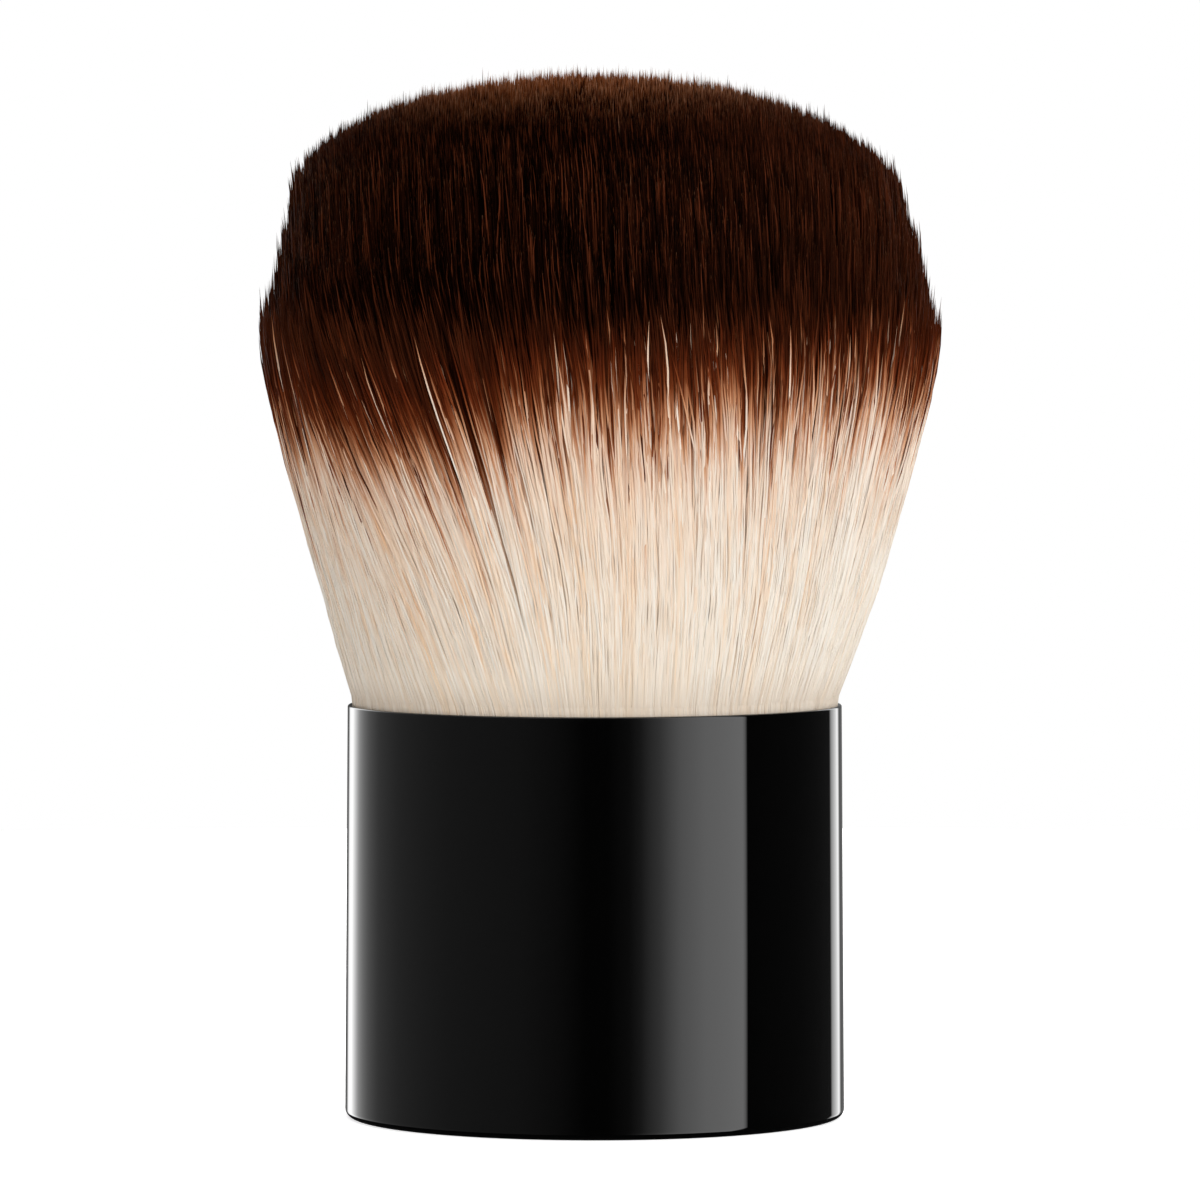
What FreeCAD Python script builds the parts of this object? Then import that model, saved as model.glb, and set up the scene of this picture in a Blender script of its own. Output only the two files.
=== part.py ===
import FreeCAD, Part
import math
import os

# A kabuki makeup brush: a drawn metal cup that stands on its base and holds, by a moulded core
# and an inner ferrule, a dense domed head of dip-dyed filaments.
# Millimetres, +Z up along the brush's axis, origin at the centre of the base.

# Handle shell: an even wall that narrows a little towards the rim
SHELL_HEIGHT = 28.9
BASE_DIAMETER = 35.0
RIM_DIAMETER = 34.6
SHELL_WALL = 0.4
SHELL_FLOOR = 0.6
BASE_EDGE_ROUND = 0.8
LIP_CHAMFER = 0.12

# Weight, and the tape that holds it to the shell's floor
TAPE_DIAMETER = 26.0
TAPE_THICKNESS = 0.3
WEIGHT_THICKNESS = 4.0
WEIGHT_BORE = 6.0
WEIGHT_CHAMFER = 0.8
WEIGHT_CLEARANCE = 0.3

# Moulded core: a hollow hat with a skirt on the weight, a tenon for the ferrule and a centre pin
CORE_WALL = 1.4
CORE_CLEARANCE = 0.3
TENON_HEIGHT = 3.0
PIN_DEPTH = 3.0
PIN_FIT = 0.1
RIB_COUNT = 3
STIFFENER_THICKNESS = 1.2
STIFFENER_LIFT = 1.0
CRUSH_RIB_WIDTH = 1.0
CRUSH_RIB_LEAD = 0.6
CRUSH_RIB_FIT = 0.02

# Inner ferrule with a belled mouth
FERRULE_GAP = 0.5
FERRULE_WALL = 0.4
FERRULE_FIT = 0.08
MOUTH_DROP = 2.0
BELL_ANGLE = 45.0
BELL_FIT = 0.05

# Glue round the ferrule's foot, and the resin under the hair
GLUE_HEIGHT = 3.0
RESIN_THICKNESS = 2.0
CAST_FIT = 0.02

# Flat thread wound round the hair bundle
THREAD_WIDTH = 0.5
THREAD_GAP = 0.45
THREAD_TURNS = 2
THREAD_FIT = 0.08
BINDING_MARGIN = 0.3
ROOT_END = 1.0

# Head of filaments: widest at a height above the rim, a sloped shoulder, then a rounded dome
HAIR_FIT = 0.05
HEAD_DIAMETER = 47.4
WIDEST_HEIGHT = 26.3
SIDE_ROUND = 20.0
SHOULDER_RISE = 8.7
SHOULDER_INSET = 2.2
DOME_RISE = 9.0

# Rounds are turned as short straight cuts, fine enough to read as round
EDGE_CUT_COUNT = 3
SIDE_CUT_COUNT = 2
DOME_CUT_COUNT = 7

GAP_SAMPLES_PER_TURN = 48


def bore_at(level):
    """Radius of the shell's bore at a level: one wall inside the straight line from base to rim."""
    share = level / SHELL_HEIGHT
    return (BASE_DIAMETER * (1 - share) + RIM_DIAMETER * share) / 2 - SHELL_WALL


def narrowest_bore(low, high):
    return min(bore_at(low), bore_at(high))


# Radii of the ferrule and of what it holds, clear of the bore at its narrowest
ferrule_outside = narrowest_bore(0, SHELL_HEIGHT) - FERRULE_GAP
ferrule_inside = ferrule_outside - FERRULE_WALL
tenon_radius = ferrule_inside - FERRULE_FIT
root_radius = ferrule_inside - HAIR_FIT
thread_radius = root_radius - THREAD_FIT - THREAD_WIDTH / 2
waist_radius = thread_radius - THREAD_WIDTH / 2 - THREAD_FIT
rim_hair_radius = bore_at(SHELL_HEIGHT) - HAIR_FIT

# The bell of the ferrule, up to its mouth
bell_angle = math.radians(BELL_ANGLE)
mouth_level = SHELL_HEIGHT - MOUTH_DROP
bell_outside = narrowest_bore(mouth_level, SHELL_HEIGHT) - BELL_FIT
bell_inside = bell_outside - FERRULE_WALL * math.cos(bell_angle)
bell_level = mouth_level - (bell_inside - ferrule_inside) / math.tan(bell_angle)

# The stack inside the shell: hair down from the bell, weight up from the floor, core between them
thread_pitch = THREAD_WIDTH + THREAD_GAP
binding_height = THREAD_TURNS * thread_pitch + THREAD_WIDTH
waist_slope = root_radius - waist_radius
waist_top = bell_level - BINDING_MARGIN - waist_slope
waist_bottom = waist_top - binding_height - 2 * THREAD_FIT
root_level = waist_bottom - waist_slope - ROOT_END
tenon_level = root_level - RESIN_THICKNESS
shoulder_level = tenon_level - TENON_HEIGHT
weight_level = SHELL_FLOOR + TAPE_THICKNESS
core_level = weight_level + WEIGHT_THICKNESS
weight_radius = narrowest_bore(weight_level, core_level) - WEIGHT_CLEARANCE
core_radius = narrowest_bore(core_level, shoulder_level) - CORE_CLEARANCE


def disc(radius, thickness, level):
    return Part.makeCylinder(radius, thickness, FreeCAD.Vector(0, 0, level))


def turned(corners):
    """Solid turned about the brush's axis from a closed half section of (radius, height) corners."""
    points = [FreeCAD.Vector(radius, 0, height) for radius, height in corners + corners[:1]]
    section = Part.Face(Part.makePolygon(points))
    return section.revolve(FreeCAD.Vector(0, 0, 0), FreeCAD.Vector(0, 0, 1), 360)


def round_cuts(centre_radius, centre_height, rounding, start, end, cuts):
    """Corners of a half section along an arc, between two angles from the radial direction."""
    angles = [start + (end - start) * cut / cuts for cut in range(cuts + 1)]
    return [
        (centre_radius + rounding * math.cos(angle), centre_height + rounding * math.sin(angle))
        for angle in angles
    ]


def around_axis(shape, count):
    """Copies of a shape at even angles about the brush's axis."""
    copies = []
    for index in range(count):
        copy = shape.copy()
        copy.rotate(FreeCAD.Vector(0, 0, 0), FreeCAD.Vector(0, 0, 1), 360 * index / count)
        copies.append(copy)
    return copies


def handle_shell():
    """Drawn cup with a flat base, a rounded base edge and a thin chamfered lip."""
    edge_centre = BASE_DIAMETER / 2 - BASE_EDGE_ROUND
    base_edge = round_cuts(edge_centre, BASE_EDGE_ROUND, BASE_EDGE_ROUND, -math.pi / 2, 0, EDGE_CUT_COUNT)
    return turned([(0, 0)] + base_edge + [
        (RIM_DIAMETER / 2, SHELL_HEIGHT - LIP_CHAMFER),
        (RIM_DIAMETER / 2 - LIP_CHAMFER, SHELL_HEIGHT),
        (bore_at(SHELL_HEIGHT) + LIP_CHAMFER, SHELL_HEIGHT),
        (bore_at(SHELL_HEIGHT - LIP_CHAMFER), SHELL_HEIGHT - LIP_CHAMFER),
        (bore_at(SHELL_FLOOR), SHELL_FLOOR),
        (0, SHELL_FLOOR),
    ])


def weight_tape():
    """Disc of double-sided tape on the shell's floor."""
    return disc(TAPE_DIAMETER / 2, TAPE_THICKNESS, SHELL_FLOOR)


def base_weight():
    """Steel slug with turned chamfers and a bore for the core's pin."""
    return turned([
        (WEIGHT_BORE / 2, weight_level),
        (weight_radius - WEIGHT_CHAMFER, weight_level),
        (weight_radius, weight_level + WEIGHT_CHAMFER),
        (weight_radius, core_level - WEIGHT_CHAMFER),
        (weight_radius - WEIGHT_CHAMFER, core_level),
        (WEIGHT_BORE / 2, core_level),
    ])


def core_envelope():
    """Outside of the core as a full solid: skirt, shoulder and tenon."""
    return turned([
        (0, core_level),
        (core_radius, core_level),
        (core_radius, shoulder_level),
        (tenon_radius, shoulder_level),
        (tenon_radius, tenon_level),
        (0, tenon_level),
    ])


def core_cavity():
    """Hollow under the core, one wall inside its envelope."""
    return turned([
        (0, core_level),
        (core_radius - CORE_WALL, core_level),
        (core_radius - CORE_WALL, shoulder_level - CORE_WALL),
        (tenon_radius - CORE_WALL, shoulder_level - CORE_WALL),
        (tenon_radius - CORE_WALL, tenon_level - CORE_WALL),
        (0, tenon_level - CORE_WALL),
    ])


def crush_rib():
    """Upright rib that bites on the shell's bore, with a sloped lead at its foot."""
    root = core_radius - CORE_WALL / 2
    outline = [
        (root, core_level),
        (core_radius, core_level),
        (bore_at(core_level), core_level + CRUSH_RIB_LEAD),
        (bore_at(shoulder_level), shoulder_level),
        (root, shoulder_level),
    ]
    side = -CRUSH_RIB_WIDTH / 2
    points = [FreeCAD.Vector(radius, side, height) for radius, height in outline + outline[:1]]
    blade = Part.Face(Part.makePolygon(points)).extrude(FreeCAD.Vector(0, CRUSH_RIB_WIDTH, 0))
    bite = Part.makeCone(bore_at(0) - CRUSH_RIB_FIT, bore_at(SHELL_HEIGHT) - CRUSH_RIB_FIT, SHELL_HEIGHT)
    return blade.common(bite)


def handle_core():
    """Moulded hat with a pin in the weight's bore, and crush ribs outside, each over a stiffener inside."""
    envelope = core_envelope()
    stiffener_level = core_level + STIFFENER_LIFT
    stiffener_corner = FreeCAD.Vector(0, -STIFFENER_THICKNESS / 2, stiffener_level)
    stiffener_height = tenon_level - stiffener_level
    stiffener = Part.makeBox(core_radius, STIFFENER_THICKNESS, stiffener_height, stiffener_corner)
    pin_level = core_level - PIN_DEPTH
    pin = disc(WEIGHT_BORE / 2 - PIN_FIT, tenon_level - CORE_WALL / 2 - pin_level, pin_level)
    inside = [rib.common(envelope) for rib in around_axis(stiffener, RIB_COUNT)]
    outside = around_axis(crush_rib(), RIB_COUNT)
    return envelope.cut(core_cavity()).fuse([pin] + inside + outside).removeSplitter()


def hair_ferrule():
    """Thin tube that stands on the core's shoulder and bells out to the shell at its mouth."""
    bend_drop = FERRULE_WALL * math.tan(bell_angle / 2)
    return turned([
        (ferrule_inside, shoulder_level),
        (ferrule_outside, shoulder_level),
        (ferrule_outside, bell_level - bend_drop),
        (bell_outside, mouth_level - FERRULE_WALL * math.sin(bell_angle)),
        (bell_inside, mouth_level),
        (ferrule_inside, bell_level),
    ])


def assembly_glue():
    """Ring of cured epoxy on the core's shoulder, between the ferrule and the shell."""
    inner = ferrule_outside + CAST_FIT
    outer = narrowest_bore(shoulder_level, shoulder_level + GLUE_HEIGHT) - CAST_FIT
    return turned([
        (inner, shoulder_level),
        (outer, shoulder_level),
        (outer, shoulder_level + GLUE_HEIGHT),
        (inner, shoulder_level + GLUE_HEIGHT),
    ])


def root_resin():
    """Puck of resin between the tenon and the hair's root ends."""
    return disc(ferrule_inside - CAST_FIT, RESIN_THICKNESS, tenon_level)


def thread_point(turn):
    angle = 2 * math.pi * turn
    level = waist_bottom + THREAD_FIT + THREAD_WIDTH / 2 + thread_pitch * turn
    return FreeCAD.Vector(thread_radius * math.cos(angle), thread_radius * math.sin(angle), level)


def thread_direction(turn):
    angle = 2 * math.pi * turn
    rise = thread_pitch / (2 * math.pi * thread_radius)
    return FreeCAD.Vector(-math.sin(angle), math.cos(angle), rise).normalize()


def tangent_arc(start, direction, end):
    """Arc that leaves start along a direction and reaches end."""
    chord = end - start
    along = FreeCAD.Vector(chord).normalize()
    side = (direction - along * direction.dot(along)).normalize()
    sagitta = chord.Length / 2 * math.tan(direction.getAngle(chord) / 2)
    return Part.Arc(start, start + chord / 2 + side * sagitta, end).toShape()


def biarc(start_turn, end_turn):
    """Two arcs that follow the winding between two turns, tangent to it at both ends."""
    start, end = thread_point(start_turn), thread_point(end_turn)
    leaving, arriving = thread_direction(start_turn), thread_direction(end_turn)
    chord = end - start
    along = chord.dot(leaving + arriving)
    spread = 2 * (1 - leaving.dot(arriving))
    reach = (math.sqrt(along ** 2 + spread * chord.dot(chord)) - along) / spread
    middle = (start + leaving * reach + end - arriving * reach) / 2
    middle_direction = (end - arriving * reach - start - leaving * reach).normalize()
    return [tangent_arc(start, leaving, middle), tangent_arc(middle, middle_direction, end)]


def root_binding():
    """One flat thread wound round the hair's waist, with a short straight end at each side."""
    first, last = thread_point(0), thread_point(THREAD_TURNS)
    forward = thread_direction(0)
    tail_start = first - forward * THREAD_WIDTH
    tail_end = last + thread_direction(THREAD_TURNS) * THREAD_WIDTH
    edges = [Part.LineSegment(tail_start, first).toShape()]
    for half in range(2 * THREAD_TURNS):
        edges += biarc(half / 2, (half + 1) / 2)
    edges.append(Part.LineSegment(last, tail_end).toShape())
    outward = FreeCAD.Vector(1, 0, 0) * (THREAD_WIDTH / 2)
    upward = forward.cross(outward)
    corners = [outward + upward, upward - outward, -outward - upward, outward - upward]
    section = Part.makePolygon([tail_start + corner for corner in corners + corners[:1]])
    return Part.Wire(edges).makePipeShell([section], True, False)


def least_thread_gap():
    """Least clear distance between the thread and its own neighbouring turns."""
    count = THREAD_TURNS * GAP_SAMPLES_PER_TURN
    points = [thread_point(index / GAP_SAMPLES_PER_TURN) for index in range(count + 1)]
    half_turn = GAP_SAMPLES_PER_TURN // 2
    spacings = [
        point.distanceToPoint(other)
        for index, point in enumerate(points)
        for other in points[index + half_turn:]
    ]
    return min(spacings) - THREAD_WIDTH


def bristle_head():
    """Filaments as one body: bound root, straight flare out of the rim, sloped shoulder and rounded dome."""
    widest_level = SHELL_HEIGHT + WIDEST_HEIGHT
    head_radius = HEAD_DIAMETER / 2

    # The flare leaves the rim as a tangent to the side's arc, whose centre is level with the widest part
    side_centre = head_radius - SIDE_ROUND
    inset = side_centre - rim_hair_radius
    flare = math.asin(SIDE_ROUND / math.hypot(inset, WIDEST_HEIGHT)) + math.atan2(inset, WIDEST_HEIGHT)
    side = round_cuts(side_centre, widest_level, SIDE_ROUND, -flare, 0, SIDE_CUT_COUNT)

    # The dome is half an ellipse that starts where the shoulder's slope ends
    dome_radius = head_radius - SHOULDER_INSET
    dome_level = widest_level + SHOULDER_RISE
    dome = []
    for cut in range(DOME_CUT_COUNT):
        angle = math.pi / 2 * cut / DOME_CUT_COUNT
        dome.append((dome_radius * math.cos(angle), dome_level + DOME_RISE * math.sin(angle)))

    root = [
        (0, root_level),
        (root_radius, root_level),
        (root_radius, waist_bottom - waist_slope),
        (waist_radius, waist_bottom),
        (waist_radius, waist_top),
        (root_radius, waist_top + waist_slope),
        (root_radius, bell_level),
        (rim_hair_radius, SHELL_HEIGHT),
    ]
    return turned(root + side + dome + [(0, dome_level + DOME_RISE)])


PIECES = {
    "handle_shell": handle_shell,
    "weight_tape": weight_tape,
    "base_weight": base_weight,
    "handle_core": handle_core,
    "hair_ferrule": hair_ferrule,
    "assembly_glue": assembly_glue,
    "root_resin": root_resin,
    "root_binding": root_binding,
    "bristle_head": bristle_head,
}


def main():
    os.makedirs("parts", exist_ok=True)
    for name, make in PIECES.items():
        make().exportStep(f"parts/{name}.step")
    print(f"least gap between turns of the binding: {least_thread_gap():.2f} mm")


main()
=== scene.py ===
import math

import bpy
import numpy as np
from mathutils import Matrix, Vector


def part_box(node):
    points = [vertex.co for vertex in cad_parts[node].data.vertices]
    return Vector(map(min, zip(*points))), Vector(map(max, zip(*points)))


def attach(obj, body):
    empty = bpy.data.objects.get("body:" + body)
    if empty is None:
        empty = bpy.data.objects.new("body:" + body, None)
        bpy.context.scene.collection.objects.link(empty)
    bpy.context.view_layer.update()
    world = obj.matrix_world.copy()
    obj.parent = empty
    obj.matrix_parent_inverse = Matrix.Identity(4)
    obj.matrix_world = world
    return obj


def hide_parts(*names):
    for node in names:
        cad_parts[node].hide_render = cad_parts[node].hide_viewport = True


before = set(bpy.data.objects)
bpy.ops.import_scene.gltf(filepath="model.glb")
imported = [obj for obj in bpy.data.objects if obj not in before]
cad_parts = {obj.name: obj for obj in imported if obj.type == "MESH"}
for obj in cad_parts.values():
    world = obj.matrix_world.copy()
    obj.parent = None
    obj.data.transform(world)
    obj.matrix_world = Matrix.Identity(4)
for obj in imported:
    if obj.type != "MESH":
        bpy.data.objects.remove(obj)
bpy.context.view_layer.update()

# A kabuki makeup brush: a gloss black cup that holds a dense domed head of dip-dyed filaments.
# Sizes are in millimetres and are turned to metres where a mesh, a lamp or a node is made.
# An azimuth runs about the brush's axis from the photographed side, -Y, towards +X. It is in radians
# for the head and in degrees for the studio.
MM = 0.001
FULL_TURN = 2 * math.pi
# Keeps a division by a distance from the axis clear of zero
TINY = 1e-6
rng = np.random.default_rng(41)

# Places taken from the frame
_, shell_high = (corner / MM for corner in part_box("handle_shell"))
_, head_high = (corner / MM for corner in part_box("bristle_head"))
RIM_LEVEL = shell_high.z
BASE_RADIUS = shell_high.x
APEX_HEIGHT = head_high.z - RIM_LEVEL
HEAD_RADIUS = head_high.x

# Handle shell
RIM_RADIUS = 17.3
SHELL_WALL = 0.4
SHELL_FLOOR = 0.6
BASE_EDGE_ROUND = 0.6
LIP_ROUND = 0.15
ROUND_STEPS = 10
TURN_STEPS = 256
WELD_DISTANCE = 0.001
CREASE_DEGREES = 30

# Finishes, with the sizes that their patterns really have
ORANGE_PEEL_SIZE = 1.5
ORANGE_PEEL_DEPTH = 0.01
GRAIN_HOLLOW, GRAIN_RIDGE = 0.3, 0.7
GRAIN_CONTRAST = 0.15
GRAIN_RELIEF = 0.3

# Outline of the head, with heights above the rim
WIDEST_HEIGHT = 26.3
LOWEST_TIP = WIDEST_HEIGHT - 3
SHOULDER_HEIGHT = 35.0
SHOULDER_RADIUS = HEAD_RADIUS - 2.2
HAIR_RADIUS_AT_RIM = 16.8
FLARE_SLOPE = 0.34
FLARE_EASE = 0.0023
BEND_START = 20.0
BEND_END = 30.0
BEND_EASE = 0.01
OUTLINE_HALVINGS = 30

# The head stands a little right of the handle, and its crown a little left: heights and shifts
SHIFT_HEIGHTS = (0, 8, 33, 40)
SHIFTS = (0, 0.35, 0.35, -0.2)

# Combing: turn about the axis, the azimuth it is round, and its width there
COMBED_PLACES = [(-0.42, -0.5, 0.5), (-0.14, 0.5, 0.4), (-0.12, 2.6, 0.6), (0.1, -2.2, 0.5)]
# Ripples in the combing: turn, how many go round the head, and phase
COMBED_RIPPLES = [(0.025, 3, 1.0), (0.02, 5, 2.2)]

# Filaments, where a share of 0 is the axis and 1 the outside of the bundle
SIDE_LAYERS = 12
SIDE_LAYER_COUNT = 1000
SIDE_CROWDING = 2.2
DOME_COUNT = 72000
SIDE_SHARE = 0.95
ROOT_DEPTH = 1.2
DOME_VISIBLE_LENGTH = 7.0
SIDE_RINGS = np.linspace(0, 1, 16)
DOME_RINGS = np.array([0, 0.85, 1])
PIECE_TRIANGLES = 190000

# Each filament's tube
FILAMENT_WIDTH = 0.14
TUBE_SIDES = 3
FACING_SCATTER = 0.4
TIP_TAPER = 2.5
TAPER_POWER = 0.7
POINT_SHARE = 0.12

# Clumps: filaments that cling together on their way up
CLUMP_SPACING = 0.45
# A few columns more than the bundle is wide, for the neighbours of the outermost roots
CLUMP_COLUMNS = int(2 * HAIR_RADIUS_AT_RIM / CLUMP_SPACING) + 5
CLUMP_COUNT = CLUMP_COLUMNS ** 2
CLUMP_JITTER = (0.1, 0.9)
CLUMP_PULL = (0.25, 0.7)
CLUMP_WAVE = (0.02, 0.2)
CLUMP_WAVE_RADIAN = 2.6
SIDE_CLUMP_ASIDE = 0.36
DOME_CLUMP_ASIDE = 0.15
CLUMP_OUT = 0.06
PULL_POWER = 3

# How single filaments stray and crimp
STRAY_SHARE = 0.05
STRAY_ASIDE = 1.3
FILAMENT_ASIDE = 0.32
FILAMENT_OUT = (-0.05, 0.07)
STRAY_POWER = 1.5
CRIMP = (0.03, 0.09)
CRIMP_LENGTH = (6, 11)
CRIMP_FULL_HEIGHT = 4

# How uneven the tips are, most of all at the corner where the side turns into the dome
CORNER_FROM, CORNER_TO = 0.8, 0.9
TIP_DROP = 0.15
CORNER_DROP = 0.2
TIP_CLUMP_SCATTER = 0.15
TIP_SCATTER = 0.3
CORNER_SCATTER = 0.8

# Dye line, with heights above the rim
DYE_HEIGHT = 20.5
DYE_DROP_LEFT = 3.0
DROP_FRONT, DROP_FRONT_EASE = -0.29, 0.1
DROP_BACK, DROP_BACK_EASE = -2.4, 0.4
DYE_WAVE, DYE_WAVES_ROUND, DYE_WAVE_PHASE = 0.2, 4, 0.7
# Rises of the line: how high, the azimuth they are round, and their width there
DYE_RISES = [(0.7, -0.43, 0.12), (0.15, 0.8, 0.35), (-0.35, -0.8, 0.25), (-2.4, 0.11, 0.16)]

# How filaments differ in dye: those further in took it further down, a few run pale higher up, partly undyed
# strands and partly painted highlights on strands, a few took the dye further down, and round one place at
# the left the line is sharper
LEAN_AT_DYE = 0.7
DYE_OUTER_RISE = 0.8
DYE_INNER_DROP = 2.4
DYE_CLUMP_SCATTER = 0.7
DYE_SCATTER = 1.4
SHARP_PLACE = (-0.9, 0.45)
SHARP_SHARE = 0.5
PALE_STRAND_AND_GLINT_SHARE, PALE_STRAND_AND_GLINT_RISE = 0.04, (2, 7)
DARKER_SLIP_SHARE, DARKER_SLIP = 0.06, (1, 6)

# How filaments differ in tone, from 0 for deep to 1 for pale, with painted shade and painted light added to
# it
TONE_COLUMNS = 64
TONE_OUTSIDE = 0.66
# Painted shade: filaments further in take a deeper, warmer tone, for the warm shade in the gaps between the
# strands
PAINTED_INNER_SHADE = 0.54
TONE_CLUMP_SCATTER = 0.1
TONE_SCATTER = 0.12
TONE_DOME_RISE = 0.03
# Painted light: filaments round the right are paler, for the light that falls on that side
PAINTED_RIGHT_LIGHT, PAINTED_RIGHT_LIGHT_PLACE = 0.3, (0.9, 0.55)
# Painted glow: filaments at the left and right edges are paler, for light glowing through the head's sides
PAINTED_EDGE_GLOW, PAINTED_EDGE_GLOW_PLACE = 0.4, (1.55, 0.4)
# Some filaments are pale: in the cream they are paler strands, in the dark dye they are painted highlight
# streaks
PALE_SHARE, PALE_TONES = 0.15, (0.7, 1)
HIGHEST_TONE = 0.999

# Filament map: up it lie heights about the dye line, and at its top the colours of the painted glow on the
# tips, for light passing through them
MAP_BELOW_DYE = 25.0
MAP_ABOVE_DYE = 37.0
MAP_MARGIN = 0.01
# Painted shade near the rim: the height over which the filaments grey towards the root colour
ROOT_SHADE_HEIGHT = 3.0
# Painted glow on the tips: the map heights it spans, its strength at the axis, how fast it falls outwards,
# and its strength at the corner
GLOW_TIP_FROM, GLOW_TIP_TO = 28, 36
TIP_GLOW_AT_AXIS = 1.6
TIP_GLOW_FALL = 1.9
TIP_GLOW_AT_CORNER = 0.6

# Pale filaments get rare between these heights above the dye line, so that in the dark dye the few pale ones
# are painted highlight streaks
RARER_FROM, RARER_TO = 1, 8
RARER_POWER = 2.0

# Packing inside the head
PACKING_SIDE_SHARE = 0.97
PACKING_DEPTH = 1.5
PACKING_SIDE_STEPS = 32
PACKING_DOME_STEPS = 24
PACKING_DYE_DROP = 2.5
# The packing takes deep tones, as painted shade in the gaps between the filaments
PACKING_TONE_FROM, PACKING_TONE_SPAN = 0.1, 0.2

# Stage, light and camera
STAGE_STEPS = 128
TABLE_RADIUS = 300
CONTACT_RADIUS = 17.9
WALL_RADIUS = 1000
WALL_HEIGHT = 2400
AMBIENT = 0.34
LAMP_AIM = Vector((0, 0, 45))
CAMERA_PLACE = Vector((0.37, -590, 60))
CAMERA_AIM = Vector((0.37, 0, 36.2))
CAMERA_SENSOR = 36
CAMERA_LENS = 253.0


def linear(hex_colour):
    """Linear colour of an sRGB hex value, with full alpha."""
    channels = [int(hex_colour[start:start + 2], 16) / 255 for start in (1, 3, 5)]
    return [c / 12.92 if c <= 0.04045 else ((c + 0.055) / 1.055) ** 2.4 for c in channels] + [1.0]


def add_node(tree, kind, settings=None, values=None, links=None, stops=None):
    """Adds a node with its settings, socket values, links from other sockets and (place, colour) stops."""
    node = tree.nodes.new(kind)
    for name, value in (settings or {}).items():
        setattr(node, name, value)
    for socket, value in (values or {}).items():
        node.inputs[socket].default_value = value
    for socket, source in (links or {}).items():
        tree.links.new(source, node.inputs[socket])
    if stops:
        elements = node.color_ramp.elements
        elements.remove(elements[-1])
        elements[0].position, elements[0].color = stops[0]
        for position, colour in stops[1:]:
            elements.new(position).color = colour
    return node


def new_material(name, values):
    """Material with the values of its shader node set, ready for links."""
    material = bpy.data.materials.new(name)
    material.use_nodes = True
    shader = material.node_tree.nodes["Principled BSDF"]
    for socket, value in values.items():
        shader.inputs[socket].default_value = value
    return material, material.node_tree, shader


def dressed(piece, material):
    """Gives a piece its finish, and says what it rides on."""
    piece.data.materials.clear()
    piece.data.materials.append(material)
    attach(piece, "root")


# Materials

def black_lacquer():
    """Gloss black lacquer sprayed on drawn aluminium: deep black, mirror clear, a trace of orange peel."""
    material, tree, shader = new_material("black_gloss_lacquer", {
        "Base Color": linear("#030303"), "Roughness": 0.006, "IOR": 1.5})
    place = add_node(tree, "ShaderNodeTexCoord")
    # Ripples of orange peel are about 1.5 mm apart
    peel = add_node(tree, "ShaderNodeTexNoise", links={"Vector": place.outputs["Object"]},
                    values={"Scale": 1 / (ORANGE_PEEL_SIZE * MM), "Detail": 1.0})
    bump = add_node(tree, "ShaderNodeBump", links={"Height": peel.outputs["Fac"]},
                    values={"Strength": 0.02, "Distance": ORANGE_PEEL_DEPTH * MM})
    tree.links.new(bump.outputs["Normal"], shader.inputs["Normal"])
    return material


def map_level(above_dye):
    """Place up the filament map of a height above the dye line."""
    return (above_dye + MAP_BELOW_DYE) / (MAP_BELOW_DYE + MAP_ABOVE_DYE)


def dyed_filament():
    """Tapered polyester filament, natural cream, dip-dyed brown at the tips: satin, each one a little
    different in tone, with painted shade and painted light added to its colours. Across the map lies the
    tone, and up the map the height about the dye line."""
    material, tree, shader = new_material("dip_dyed_filament", {
        "Roughness": 0.45, "IOR": 1.55, "Specular IOR Level": 0.01,
        "Sheen Weight": 0.2, "Sheen Roughness": 0.4, "Sheen Tint": linear("#b06a48")})
    uv = add_node(tree, "ShaderNodeUVMap", settings={"uv_map": "OFBake"})
    split = add_node(tree, "ShaderNodeSeparateXYZ", links={"Vector": uv.outputs["UV"]})
    # Height above the dye line, deep shade and pale shade: roots greyed as painted shade by the rim, cream,
    # band, dark dye, and tips coloured as a painted glow. The deep column's warm orange cream is what
    # filaments further in take, as painted warm shade, and in the dark dye the pale column gives painted
    # highlight streaks
    shades = [
        (-25, "#dfc9af", "#e0d4c5"), (-18, "#f3d5b1", "#f4ece0"), (-12, "#f3c99b", "#f6efe4"),
        (-5, "#edb884", "#f5e8d9"), (-2.5, "#d39d75", "#efd6c1"), (-1, "#ab683f", "#dbab88"),
        (0, "#8c4926", "#c38760"), (1.5, "#532109", "#854525"), (3, "#3b1404", "#662a12"),
        (5, "#240b03", "#4a1d0c"), (8, "#100401", "#562814"), (12, "#060100", "#5c2b17"),
        (GLOW_TIP_FROM, "#060100", "#5c2b17"), (GLOW_TIP_TO, "#945029", "#e0a67e"),
    ]
    deep, pale = (add_node(tree, "ShaderNodeValToRGB", links={"Fac": split.outputs["Y"]},
                           stops=[(map_level(row[0]), linear(row[column])) for row in shades])
                  for column in (1, 2))
    # Where the dye is dark only the palest filaments stand out, as painted highlight streaks on single
    # strands
    rarity = add_node(tree, "ShaderNodeMapRange", links={"Value": split.outputs["Y"]},
                      values={"From Min": map_level(RARER_FROM), "From Max": map_level(RARER_TO),
                              "To Min": 1.0, "To Max": RARER_POWER})
    share = add_node(tree, "ShaderNodeMath", settings={"operation": "POWER"},
                     links={0: split.outputs["X"], 1: rarity.outputs["Result"]})
    mixed = add_node(tree, "ShaderNodeMix", settings={"data_type": "RGBA"},
                     links={0: share.outputs[0], 6: deep.outputs["Color"], 7: pale.outputs["Color"]})
    tree.links.new(mixed.outputs[2], shader.inputs["Base Color"])
    return material


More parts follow.
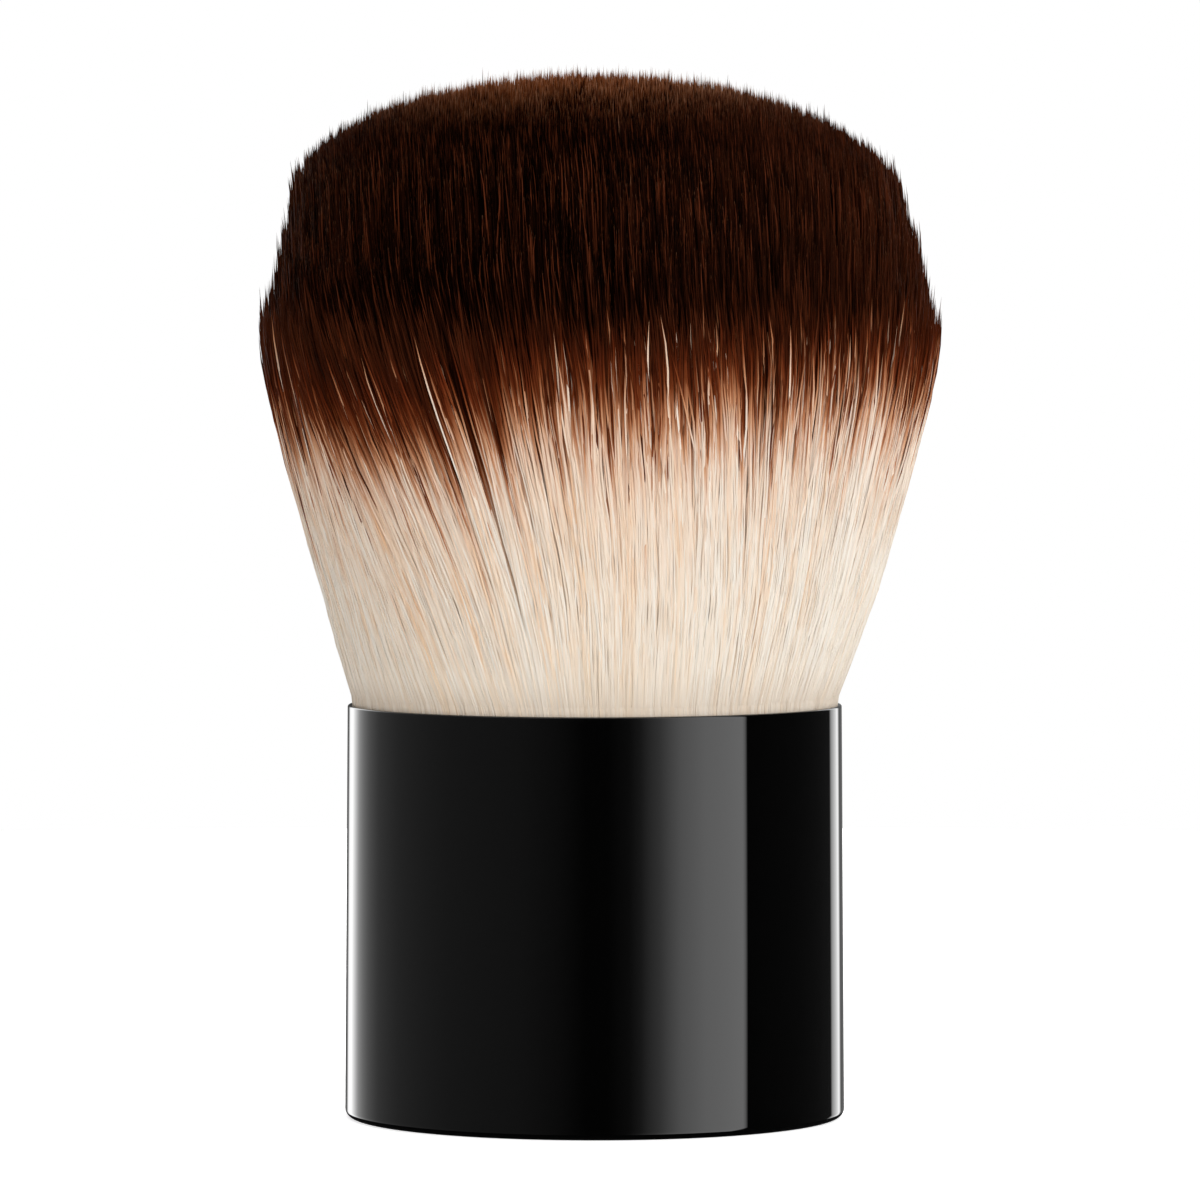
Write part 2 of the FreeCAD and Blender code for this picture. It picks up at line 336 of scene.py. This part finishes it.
def plain_finish(name, colour, roughness, metallic=0.0, grain=0.4, depth=0.02):
    """Finish of a piece that is sealed in the handle, with a fine grain in colour, gloss and relief.
    The grain's size and depth are the real ones in millimetres."""
    material, tree, shader = new_material(name, {"Metallic": metallic})
    ridge = linear(colour)
    hollow = [c * (1 - GRAIN_CONTRAST) for c in ridge[:3]] + [1.0]
    place = add_node(tree, "ShaderNodeTexCoord")
    noise = add_node(tree, "ShaderNodeTexNoise", values={"Scale": 1 / (grain * MM), "Detail": 3.0},
                     links={"Vector": place.outputs["Object"]})
    tint = add_node(tree, "ShaderNodeValToRGB", links={"Fac": noise.outputs["Fac"]},
                    stops=[(GRAIN_HOLLOW, hollow), (GRAIN_RIDGE, ridge)])
    gloss = add_node(tree, "ShaderNodeMapRange", links={"Value": noise.outputs["Fac"]},
                     values={"To Min": roughness * (1 - GRAIN_CONTRAST),
                             "To Max": roughness * (1 + GRAIN_CONTRAST)})
    bump = add_node(tree, "ShaderNodeBump", links={"Height": noise.outputs["Fac"]},
                    values={"Strength": GRAIN_RELIEF, "Distance": depth * MM})
    tree.links.new(tint.outputs["Color"], shader.inputs["Base Color"])
    tree.links.new(gloss.outputs["Result"], shader.inputs["Roughness"])
    tree.links.new(bump.outputs["Normal"], shader.inputs["Normal"])
    return material


# Turned pieces

def turned_piece(name, section):
    """Mesh turned about the brush's axis from an open half section of (radius, height) points."""
    mesh = bpy.data.meshes.new(name)
    points = [(radius * MM, 0, height * MM) for radius, height in section]
    mesh.from_pydata(points, [(index, index + 1) for index in range(len(points) - 1)], [])
    piece = bpy.data.objects.new(name, mesh)
    bpy.context.scene.collection.objects.link(piece)
    bpy.ops.object.select_all(action="DESELECT")
    piece.select_set(True)
    bpy.context.view_layer.objects.active = piece
    bpy.ops.object.mode_set(mode="EDIT")
    bpy.ops.mesh.select_all(action="SELECT")
    bpy.ops.mesh.spin(steps=TURN_STEPS, angle=FULL_TURN, center=(0, 0, 0), axis=(0, 0, 1))
    bpy.ops.mesh.select_all(action="SELECT")
    bpy.ops.mesh.remove_doubles(threshold=WELD_DISTANCE * MM)
    bpy.ops.mesh.normals_make_consistent(inside=False)
    bpy.ops.object.mode_set(mode="OBJECT")
    return piece


def rounding(centre, radius, start, end):
    """Points of a half section along an arc, between two angles in degrees from the radial direction."""
    angles = np.radians(np.linspace(start, end, ROUND_STEPS + 1))
    return [(centre[0] + radius * math.cos(a), centre[1] + radius * math.sin(a)) for a in angles]


def handle_shell():
    """Drawn cup: flat base, rounded base edge, slightly tapered side, rolled lip and tapered bore."""
    edge = (BASE_RADIUS - BASE_EDGE_ROUND, BASE_EDGE_ROUND)
    lip_level = RIM_LEVEL - LIP_ROUND
    section = [(0, 0)]
    section += rounding(edge, BASE_EDGE_ROUND, -90, 0)
    section += rounding((RIM_RADIUS - LIP_ROUND, lip_level), LIP_ROUND, 0, 90)
    section += rounding((RIM_RADIUS - SHELL_WALL + LIP_ROUND, lip_level), LIP_ROUND, 90, 180)
    section += [(BASE_RADIUS - SHELL_WALL, SHELL_FLOOR), (0, SHELL_FLOOR)]
    piece = turned_piece("gloss_handle_shell", section)
    bpy.ops.object.shade_smooth_by_angle(angle=math.radians(CREASE_DEGREES))
    dressed(piece, black_lacquer())
    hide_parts("handle_shell")


# Shape of the head

def flare(height):
    """Radius of the outermost filaments at a height above the rim: they fan out, then bend upright."""
    up = np.clip(height, 0, BEND_END)
    bend = BEND_EASE * np.maximum(up - BEND_START, 0) ** 2
    return HAIR_RADIUS_AT_RIM + FLARE_SLOPE * up - FLARE_EASE * up ** 2 - bend


def crown_radius(height):
    """Radius of the head's outline at a height above the rim: sloped shoulder, then rounded dome."""
    slope = (HEAD_RADIUS - SHOULDER_RADIUS) / (SHOULDER_HEIGHT - WIDEST_HEIGHT)
    shoulder = HEAD_RADIUS - slope * (height - WIDEST_HEIGHT)
    share = np.clip((height - SHOULDER_HEIGHT) / (APEX_HEIGHT - SHOULDER_HEIGHT), 0, 1)
    return np.where(height < SHOULDER_HEIGHT, shoulder, SHOULDER_RADIUS * np.sqrt(1 - share ** 2))


def tip_height(share):
    """Height above the rim where a filament at this share of the flare meets the head's outline."""
    low = np.full_like(share, LOWEST_TIP)
    high = np.full_like(share, APEX_HEIGHT)
    for _ in range(OUTLINE_HALVINGS):
        middle = (low + high) / 2
        inside = share * flare(middle) < crown_radius(middle)
        low, high = np.where(inside, middle, low), np.where(inside, high, middle)
    return low


def bump_at(angle, centre, width):
    """Smooth bump of height 1 round an azimuth."""
    away = (angle - centre + math.pi) % FULL_TURN - math.pi
    return np.exp(-(away / width) ** 2)


def lean(azimuth):
    """How far a filament at the outside has turned about the axis where the bend ends, in radians."""
    combed = sum(turn * bump_at(azimuth, centre, width) for turn, centre, width in COMBED_PLACES)
    return combed + sum(turn * np.sin(count * azimuth + phase) for turn, count, phase in COMBED_RIPPLES)


def dye_height(azimuth):
    """Height of the dye line above the rim: the bundle was dipped unevenly, lower at the left."""
    left = 0.5 + 0.5 * np.tanh((DROP_FRONT - azimuth) / DROP_FRONT_EASE)
    left *= 0.5 + 0.5 * np.tanh((azimuth - DROP_BACK) / DROP_BACK_EASE)
    waves = DYE_WAVE * np.sin(DYE_WAVES_ROUND * azimuth + DYE_WAVE_PHASE)
    waves += sum(rise * bump_at(azimuth, centre, width) for rise, centre, width in DYE_RISES)
    return DYE_HEIGHT - DYE_DROP_LEFT * left + waves


# Filaments

def clump_centres(x, y):
    """Centre and number of the clump of each root: the nearest point of a jittered square grid."""
    shift = rng.uniform(*CLUMP_JITTER, (CLUMP_COLUMNS, CLUMP_COLUMNS, 2))
    middle = CLUMP_COLUMNS // 2
    column = np.floor(x / CLUMP_SPACING).astype(int) + middle
    row = np.floor(y / CLUMP_SPACING).astype(int) + middle
    nearest = np.full(len(x), np.inf)
    centre_x, centre_y, number = np.zeros(len(x)), np.zeros(len(x)), np.zeros(len(x), int)
    for column_step in (-1, 0, 1):
        for row_step in (-1, 0, 1):
            c, r = column + column_step, row + row_step
            cx = (c - middle + shift[c, r, 0]) * CLUMP_SPACING
            cy = (r - middle + shift[c, r, 1]) * CLUMP_SPACING
            away = (cx - x) ** 2 + (cy - y) ** 2
            nearer = away < nearest
            nearest = np.where(nearer, away, nearest)
            centre_x, centre_y = np.where(nearer, cx, centre_x), np.where(nearer, cy, centre_y)
            number = np.where(nearer, c * CLUMP_COLUMNS + r, number)
    keep = np.minimum(1, HAIR_RADIUS_AT_RIM / np.maximum(np.hypot(centre_x, centre_y), TINY))
    return centre_x * keep, centre_y * keep, number


def clump_habits(x, y, aside):
    """How the clump of each root gathers, waves and strays, and the clump's number."""
    centre_x, centre_y, number = clump_centres(x, y)
    habits = {
        "x": centre_x,
        "y": centre_y,
        "pull": rng.uniform(*CLUMP_PULL, CLUMP_COUNT)[number],
        "wave": rng.uniform(*CLUMP_WAVE, CLUMP_COUNT)[number],
        "phase": rng.uniform(0, FULL_TURN, CLUMP_COUNT)[number],
        "aside": rng.normal(0, aside, CLUMP_COUNT)[number],
        "out": rng.normal(0, CLUMP_OUT, CLUMP_COUNT)[number],
    }
    return habits, number


def scatter(number, by_clump, by_filament):
    """Random differences: one that a whole clump shares, and one of each filament's own."""
    return rng.normal(0, by_clump, CLUMP_COUNT)[number] + rng.normal(0, by_filament, len(number))


def corner_share(share):
    """How much a filament is of the corner where the side turns into the dome."""
    return np.clip((share - CORNER_FROM) / (CORNER_TO - CORNER_FROM), 0, 1)


def inner_share(share):
    """How deep a filament lies behind the outside, from 0 to 1."""
    return np.clip((1 - share) / (1 - SIDE_SHARE), 0, 1)


def uneven_tips(share, number):
    """Height of each tip above the rim."""
    corner = corner_share(share)
    tip = tip_height(share) - TIP_DROP - CORNER_DROP * corner
    tip += scatter(number, TIP_CLUMP_SCATTER, TIP_SCATTER)
    tip += corner * rng.normal(0, CORNER_SCATTER, len(share))
    return tip


def uneven_dye(share, leant, number):
    """Height of each filament's own dye line above the rim."""
    count = len(share)
    odd_strand = rng.random(count)
    dye = dye_height(leant) + DYE_OUTER_RISE - DYE_INNER_DROP * inner_share(share)
    blur = 1 - SHARP_SHARE * bump_at(leant, *SHARP_PLACE)
    dye += blur * scatter(number, DYE_CLUMP_SCATTER, DYE_SCATTER)
    # A few filaments stay cream higher up: partly undyed strands, partly painted highlights on strands
    dye += np.where(odd_strand < PALE_STRAND_AND_GLINT_SHARE, rng.uniform(*PALE_STRAND_AND_GLINT_RISE, count), 0)
    dye -= np.where(odd_strand > 1 - DARKER_SLIP_SHARE, rng.uniform(*DARKER_SLIP, count), 0)
    return dye


def tone_and_light_column(share, leant, number):
    """Column of the filament map that holds each filament's tone, from deep to pale: its own tone, with
    painted shade for those further in, painted light round the right, a painted glow at the left and right
    edges, and pale filaments that in the dark dye are painted highlight streaks.
    """
    count = len(share)
    # Filaments further in are deepened as painted warm shade between the strands
    tone = TONE_OUTSIDE - PAINTED_INNER_SHADE * inner_share(share)
    tone += scatter(number, TONE_CLUMP_SCATTER, TONE_SCATTER)
    # Round the right the filaments are paler, as painted light
    tone += TONE_DOME_RISE * (share < SIDE_SHARE) + PAINTED_RIGHT_LIGHT * bump_at(leant, *PAINTED_RIGHT_LIGHT_PLACE)
    # At the left and right edges the filaments are paler, as a painted glow
    tone += PAINTED_EDGE_GLOW * bump_at(np.abs(leant), *PAINTED_EDGE_GLOW_PLACE)
    # Pale filaments: paler strands in the cream, painted highlight streaks in the dark dye
    tone = np.where(rng.random(count) < PALE_SHARE, rng.uniform(*PALE_TONES, count), tone)
    return np.floor(np.clip(tone, 0, HIGHEST_TONE) * TONE_COLUMNS)


def painted_tip_glow(share):
    """Painted glow of each thin point, for light passing through it seen end on: most in the dome's middle,
    some at its corner.
    """
    middle = np.clip(TIP_GLOW_AT_AXIS - TIP_GLOW_FALL * share, 0, 1)
    return middle + TIP_GLOW_AT_CORNER * corner_share(share) * (share < SIDE_SHARE)


def carried(x, y, height):
    """Place of a root point after the fan of the head carries it up to a height."""
    share = np.hypot(x, y) / HAIR_RADIUS_AT_RIM
    azimuth = np.arctan2(x, -y)
    turned = azimuth + lean(azimuth) * share ** 2 * np.minimum(height, BEND_END) / BEND_END
    return share * flare(height) * np.sin(turned), -share * flare(height) * np.cos(turned)


def filament_paths(x, y, clump, tip, start, rings):
    """Centre lines of filaments, as an array of filament, ring and coordinate."""
    height = start[:, None] + (tip - start)[:, None] * rings[None, :]
    px, py = carried(x[:, None], y[:, None], height)
    cx, cy = carried(clump["x"][:, None], clump["y"][:, None], height)
    along = np.clip(height / tip[:, None], 0, 1)
    pull = clump["pull"][:, None] * along ** PULL_POWER
    px += (cx - px) * pull
    py += (cy - py) * pull

    # Filaments stray sideways from their clump, and clumps from each other, but hardly in or out
    count = len(x)
    spread = np.where(rng.random(count) < STRAY_SHARE, STRAY_ASIDE, FILAMENT_ASIDE)
    aside = (rng.normal(0, 1, count) * spread + clump["aside"])[:, None] * along ** STRAY_POWER
    wave = np.sin(height / CLUMP_WAVE_RADIAN + clump["phase"][:, None])
    aside += along * clump["wave"][:, None] * wave
    out = (rng.normal(*FILAMENT_OUT, count) + clump["out"])[:, None] * along ** STRAY_POWER

    # Each filament is crimped a little, so neighbours cross and part over short lengths
    crimp = rng.uniform(*CRIMP, count)[:, None] * np.clip(height / CRIMP_FULL_HEIGHT, 0, 1)
    pitch = FULL_TURN / rng.uniform(*CRIMP_LENGTH, count)[:, None]
    phase = rng.uniform(0, FULL_TURN, (2, count, 1))
    aside += crimp * np.sin(pitch * height + phase[0])
    out += crimp * np.sin(pitch * height + phase[1])
    reach = np.hypot(px, py) + TINY
    right, forward = px / reach, py / reach
    px, py = px + right * out - forward * aside, py + forward * out + right * aside
    px += np.interp(height, SHIFT_HEIGHTS, SHIFTS)
    return np.stack([px, py, height + RIM_LEVEL], axis=2)


def tube_points(paths, tips):
    """Points of the tapered tubes round the centre lines, ring by ring, with one point at each tip."""
    count = len(paths)
    height = paths[:, :, 2] - RIM_LEVEL
    taper = np.clip((tips[:, None] - height) / TIP_TAPER, 0, 1) ** TAPER_POWER
    radius = FILAMENT_WIDTH / 2 * np.maximum(taper, POINT_SHARE)
    outward = np.arctan2(paths[:, 0, 1], paths[:, 0, 0]) + rng.normal(0, FACING_SCATTER, count)
    turn = outward[:, None] + (np.arange(TUBE_SIDES)[None, :] - 0.5) * FULL_TURN / TUBE_SIDES
    ring = np.stack([np.cos(turn), np.sin(turn), np.zeros_like(turn)], axis=2)
    tube = paths[:, :-1, None, :] + radius[:, :-1, None, None] * ring[:, None, :, :]
    return np.concatenate([tube.reshape(count, -1, 3), paths[:, -1:, :]], axis=1)


def tube_faces(count, rings):
    """Faces of the tubes: the points at their corners, and where each face's corners start."""
    side = np.arange(TUBE_SIDES)
    after = (side + 1) % TUBE_SIDES
    lower = np.arange(rings - 2)[:, None] * TUBE_SIDES
    upper = lower + TUBE_SIDES
    quads = np.stack([lower + side, lower + after, upper + after, upper + side], axis=2).reshape(-1, 4)
    last = (rings - 2) * TUBE_SIDES
    tip = last + TUBE_SIDES
    ends = np.stack([last + side, last + after, np.full(TUBE_SIDES, tip)], axis=1)
    one_tube = np.concatenate([quads.ravel(), ends.ravel()])
    corners = one_tube[None, :] + np.arange(count)[:, None] * (tip + 1)
    sizes = np.tile([4] * len(quads) + [3] * len(ends), count)
    return corners, np.concatenate([[0], np.cumsum(sizes)[:-1]])


def tube_map(height, dye, tone, light):
    """Map of the tubes' corners: across, a tube keeps to its tone's column, and up, it runs past the dye."""
    count, rings = height.shape
    # Painted shade: close to the rim each tube runs down the map to the greyer root colour, for the shade by
    # the cup's lip
    above_root = np.clip(height / ROOT_SHADE_HEIGHT, 0, 1)
    level = np.clip(map_level(height - dye[:, None]) * above_root, MAP_MARGIN, 1 - MAP_MARGIN)
    # Painted glow: the tip of each glowing tube is moved up the map to the glowing tip colours
    lit = light > 0
    level[lit, -1] = map_level(GLOW_TIP_FROM + (GLOW_TIP_TO - GLOW_TIP_FROM) * light[lit])
    lower, upper = level[:, :-2, None], level[:, 1:-1, None]
    v_quads = np.stack([lower, lower, upper, upper], axis=3)
    v_ends = np.stack([level[:, -2:-1], level[:, -2:-1], level[:, -1:]], axis=2)
    left = np.arange(TUBE_SIDES) / TUBE_SIDES
    right = (np.arange(TUBE_SIDES) + 1) / TUBE_SIDES
    u_quads = np.stack([left, right, right, left], axis=1)
    u_ends = np.stack([left, right, (left + right) / 2], axis=1)
    quads, ends = (count, rings - 2, TUBE_SIDES, 4), (count, TUBE_SIDES, 3)
    u, v = (np.concatenate([np.broadcast_to(on_quads, quads).reshape(count, -1),
                            np.broadcast_to(on_ends, ends).reshape(count, -1)], axis=1)
            for on_quads, on_ends in ((u_quads, u_ends), (v_quads, v_ends)))
    return np.stack([(tone[:, None] + u) / TONE_COLUMNS, v], axis=2)


def filament_piece(name, paths, tips, dye, tone, light, material):
    """One mesh of three-sided tapered tubes that end in a point."""
    points = tube_points(paths, tips)
    corners, starts = tube_faces(*paths.shape[:2])
    mesh = bpy.data.meshes.new(name)
    mesh.vertices.add(points.size // 3)
    mesh.vertices.foreach_set("co", (points * MM).astype(np.float32).ravel())
    mesh.loops.add(corners.size)
    mesh.loops.foreach_set("vertex_index", corners.astype(np.int32).ravel())
    mesh.polygons.add(len(starts))
    mesh.polygons.foreach_set("loop_start", starts.astype(np.int32))
    mesh.update(calc_edges=True)
    uv = mesh.uv_layers.new(name="OFBake")
    map_points = tube_map(paths[:, :, 2] - RIM_LEVEL, dye, tone, light)
    uv.data.foreach_set("uv", map_points.astype(np.float32).ravel())
    # Faces are shaded flat, so that each thin tube has a lit side and a dark side
    mesh.shade_flat()
    mesh.update()
    piece = bpy.data.objects.new(name, mesh)
    bpy.context.scene.collection.objects.link(piece)
    dressed(piece, material)
    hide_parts("bristle_head")


def filaments(material):
    """The head's filaments: whole ones round the side, and the upper lengths of those further in."""
    layer, place = np.divmod(np.arange(SIDE_LAYERS * SIDE_LAYER_COUNT), SIDE_LAYER_COUNT)
    round_side = (place + rng.uniform(0, 1, len(place))) / SIDE_LAYER_COUNT * FULL_TURN - math.pi
    order = np.argsort(round_side)
    inwards = ((layer + rng.random(len(layer))) / SIDE_LAYERS) ** SIDE_CROWDING
    side_share = 1 - (1 - SIDE_SHARE) * inwards
    dome_share = SIDE_SHARE * np.sqrt(rng.random(DOME_COUNT))
    round_dome = np.sort(rng.uniform(-math.pi, math.pi, DOME_COUNT))
    # Name, shares, azimuths, rings, visible length if not whole, and how far the clumps stray
    kinds = [
        ("side_filaments", side_share[order], round_side[order], SIDE_RINGS, None, SIDE_CLUMP_ASIDE),
        ("dome_filaments", dome_share, round_dome, DOME_RINGS, DOME_VISIBLE_LENGTH, DOME_CLUMP_ASIDE),
    ]
    for name, share, azimuth, rings, visible, clump_aside in kinds:
        count = len(share)
        x = share * HAIR_RADIUS_AT_RIM * np.sin(azimuth)
        y = -share * HAIR_RADIUS_AT_RIM * np.cos(azimuth)
        clump, number = clump_habits(x, y, clump_aside)
        leant = azimuth + lean(azimuth) * LEAN_AT_DYE
        tip = uneven_tips(share, number)
        dye = uneven_dye(share, leant, number)
        tone = tone_and_light_column(share, leant, number)
        light = painted_tip_glow(share)
        first = np.full(count, -ROOT_DEPTH) if visible is None else tip - visible

        tube_triangles = TUBE_SIDES * (2 * (len(rings) - 2) + 1)
        pieces = math.ceil(count * tube_triangles / PIECE_TRIANGLES)
        for piece_number, part in enumerate(np.array_split(np.arange(count), pieces), start=1):
            part_clump = {habit: values[part] for habit, values in clump.items()}
            paths = filament_paths(x[part], y[part], part_clump, tip[part], first[part], rings)
            filament_piece(f"{name}_{piece_number}", paths, tip[part], dye[part], tone[part],
                           light[part], material)


def hair_packing(material):
    """The bundle's dense inside, a little under the tips, that closes the view between filaments."""
    shoulder_top = SHOULDER_HEIGHT - PACKING_DEPTH
    section = [(0, RIM_LEVEL - ROOT_DEPTH)]
    for height in np.linspace(-ROOT_DEPTH, shoulder_top, PACKING_SIDE_STEPS):
        radius = min(PACKING_SIDE_SHARE * float(flare(height)), float(crown_radius(height)) - PACKING_DEPTH)
        section.append((radius, RIM_LEVEL + float(height)))
    shoulder_radius = section[-1][0]
    for angle in np.linspace(0, math.pi / 2, PACKING_DOME_STEPS)[1:]:
        height = shoulder_top + (APEX_HEIGHT - SHOULDER_HEIGHT) * math.sin(angle)
        section.append((shoulder_radius * max(math.cos(angle), 0), RIM_LEVEL + height))
    piece = turned_piece("hair_packing", section)
    mesh = piece.data
    uv = mesh.uv_layers.new(name="OFBake")
    for loop in mesh.loops:
        point = mesh.vertices[loop.vertex_index].co / MM
        azimuth = math.atan2(point.x, -point.y)
        dye = float(dye_height(azimuth)) - PACKING_DYE_DROP
        level = map_level(point.z - RIM_LEVEL - dye)
        # Deep tones round the packing, as painted shade in the gaps between filaments
        tone = (azimuth / FULL_TURN + 0.5) * PACKING_TONE_SPAN + PACKING_TONE_FROM
        uv.data[loop.index].uv = (tone, min(max(level, MAP_MARGIN), 1 - MAP_MARGIN))
    bpy.ops.object.shade_smooth()
    dressed(piece, material)
    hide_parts("bristle_head")


def dress_cad_pieces():
    """Finishes of the CAD nodes: pale matt tape, bright steel and aluminium, dull black plastic, amber
    resin and matt thread inside the handle, and the outside finishes on the two that are seen."""
    finishes = {
        "weight_tape": plain_finish("foam_tape", "#dad9d2", 0.8, grain=0.3, depth=0.05),
        "base_weight": plain_finish("turned_steel", "#b9b9bd", 0.35, metallic=1.0, grain=0.15),
        "handle_core": plain_finish("moulded_abs", "#262626", 0.5, grain=0.25),
        "hair_ferrule": plain_finish("drawn_aluminium", "#dedfe1", 0.3, metallic=1.0, grain=0.2),
        "assembly_glue": plain_finish("cured_epoxy", "#bb9a5e", 0.15, grain=1.5),
        "root_resin": plain_finish("root_epoxy", "#bb9a5e", 0.15, grain=1.5),
        "root_binding": plain_finish("polyester_thread", "#e0dccf", 0.75, grain=0.12, depth=0.04),
        "handle_shell": bpy.data.materials["black_gloss_lacquer"],
        "bristle_head": bpy.data.materials["dip_dyed_filament"],
    }
    for node, material in finishes.items():
        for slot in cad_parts[node].material_slots:
            slot.material = material


# Stage, light and camera

def staged(piece, name, material, unseen_by):
    """Names and finishes a piece of the stage, and hides it from the kinds of rays that shouldn't see it."""
    piece.name = name
    piece.data.materials.append(material)
    for rays in unseen_by:
        setattr(piece, "visible_" + rays, False)


def floor():
    """Round white table top that throws light up, and that the camera sees as white as the backdrop."""
    bpy.ops.mesh.primitive_circle_add(vertices=STAGE_STEPS, radius=TABLE_RADIUS * MM, fill_type="NGON")
    material, tree, shader = new_material("white_table", {
        "Base Color": linear("#f2f2f2"), "Roughness": 0.9, "Specular IOR Level": 0.0,
        "Emission Color": linear("#dadada")})
    path = add_node(tree, "ShaderNodeLightPath")
    tree.links.new(path.outputs["Is Camera Ray"], shader.inputs["Emission Strength"])
    staged(bpy.context.object, "table_top", material, ("glossy",))


def contact_shade():
    """Painted shadow: a dark disc for the table's shade close to the base, which only the gloss handle's
    lower edge mirrors.
    """
    bpy.ops.mesh.primitive_circle_add(vertices=STAGE_STEPS, radius=CONTACT_RADIUS * MM, fill_type="NGON")
    material, _, _ = new_material("shaded_table", {
        "Base Color": linear("#3c3c3c"), "Specular IOR Level": 0.0})
    staged(bpy.context.object, "contact_shade", material, ("camera", "diffuse", "shadow"))


def studio_wall():
    """What the gloss handle mirrors: backdrop behind, soft box at the right, dark studio elsewhere."""
    bpy.ops.mesh.primitive_cylinder_add(vertices=STAGE_STEPS, radius=WALL_RADIUS * MM,
                                        depth=WALL_HEIGHT * MM, end_fill_type="NOTHING")
    # Azimuth and brightness
    glows = [
        (-180, 0.05), (-169, 0.1), (-163.4, 0.35), (-160.3, 2.1), (-153, 3.2), (-149.3, 2.7),
        (-145.8, 2.1), (-141.3, 1.28), (-135, 0.86), (-129, 0.59), (-119, 0.36), (-103, 0.26),
        (-70.5, 0.17), (-35, 0.12), (-16, 0.06), (-4, 0.004), (6, 0.004), (16, 0.06),
        (21, 0.18), (30, 0.72), (40, 1.8), (52, 2.5), (73.0, 2.9), (73.4, 0.01),
        (141.3, 0.04), (142.4, 1.2), (149.3, 2.05), (154.6, 2.7), (156.6, 1.5), (159, 0.2),
        (163.4, 0.2), (180, 0.2),
    ]
    brightest = max(brightness for _, brightness in glows)
    material, tree, _ = new_material("studio_wall", {})
    tree.nodes.clear()
    place = add_node(tree, "ShaderNodeTexCoord")
    turn = add_node(tree, "ShaderNodeMapping", values={"Rotation": (0, 0, math.radians(90))},
                    links={"Vector": place.outputs["Object"]})
    round_axis = add_node(tree, "ShaderNodeTexGradient", settings={"gradient_type": "RADIAL"},
                          links={"Vector": turn.outputs["Vector"]})
    shade = add_node(tree, "ShaderNodeValToRGB", links={"Fac": round_axis.outputs["Fac"]},
                     stops=[(azimuth / 360 + 0.5, [brightness / brightest] * 3 + [1.0])
                            for azimuth, brightness in glows])
    glow = add_node(tree, "ShaderNodeEmission", values={"Strength": brightest},
                    links={"Color": shade.outputs["Color"]})
    add_node(tree, "ShaderNodeOutputMaterial", links={"Surface": glow.outputs["Emission"]})
    staged(bpy.context.object, "studio_wall", material, ("camera", "diffuse", "shadow"))


def aimed(thing, place, aim):
    """Puts a lamp or camera at a place and points it at its aim."""
    bpy.context.scene.collection.objects.link(thing)
    thing.location = place
    thing.rotation_mode = "QUATERNION"
    thing.rotation_quaternion = (place - aim).to_track_quat("Z", "Y")


def soft_box(name, azimuth, elevation, distance, width, height, watts):
    """Rectangular lamp that faces the head and that no reflection shows."""
    lamp = bpy.data.lights.new(name, "AREA")
    lamp.shape = "RECTANGLE"
    lamp.size, lamp.size_y = width * MM, height * MM
    lamp.energy = watts
    box = bpy.data.objects.new(name, lamp)
    a, e = math.radians(azimuth), math.radians(elevation)
    away = Vector((math.sin(a) * math.cos(e), -math.cos(a) * math.cos(e), math.sin(e)))
    aimed(box, (LAMP_AIM + away * distance) * MM, LAMP_AIM * MM)
    box.visible_glossy = False


def lights():
    """Key lamp in front, one high behind and one for each edge, in a white room that fills the shadows."""
    # Azimuth, elevation, distance, width, height and watts
    soft_box("key_box", 19, 20, 800, 800, 800, 4.33)
    soft_box("top_box", 165, 40, 700, 600, 600, 3.6)
    soft_box("left_edge_box", -150, 10, 800, 350, 1000, 2.0)
    soft_box("right_edge_box", 145, 10, 800, 350, 1000, 2.2)
    world = bpy.data.worlds.new("white_studio")
    bpy.context.scene.world = world
    world.use_nodes = True
    tree = world.node_tree
    tree.nodes.clear()
    path = add_node(tree, "ShaderNodeLightPath")
    seen = path.outputs["Is Camera Ray"]
    for rays in ("Is Glossy Ray", "Is Transmission Ray"):
        either = add_node(tree, "ShaderNodeMath", settings={"operation": "MAXIMUM"},
                          links={0: seen, 1: path.outputs[rays]})
        seen = either.outputs[0]
    level = add_node(tree, "ShaderNodeMapRange", values={"To Min": AMBIENT, "To Max": 1.0},
                     links={"Value": seen})
    sky = add_node(tree, "ShaderNodeBackground", values={"Color": linear("#ffffff")},
                   links={"Strength": level.outputs["Result"]})
    add_node(tree, "ShaderNodeOutputWorld", links={"Surface": sky.outputs["Background"]})


def camera():
    """Long lens, level with the head and looking a little down, as in the photo."""
    data = bpy.data.cameras.new("camera")
    data.sensor_width = CAMERA_SENSOR
    data.lens = CAMERA_LENS
    view = bpy.data.objects.new("camera", data)
    aimed(view, CAMERA_PLACE * MM, CAMERA_AIM * MM)
    bpy.context.scene.camera = view


handle_shell()
hair = dyed_filament()
filaments(hair)
hair_packing(hair)
dress_cad_pieces()
floor()
contact_shade()
studio_wall()
lights()
camera()
bpy.context.scene.view_settings.view_transform = "Standard"
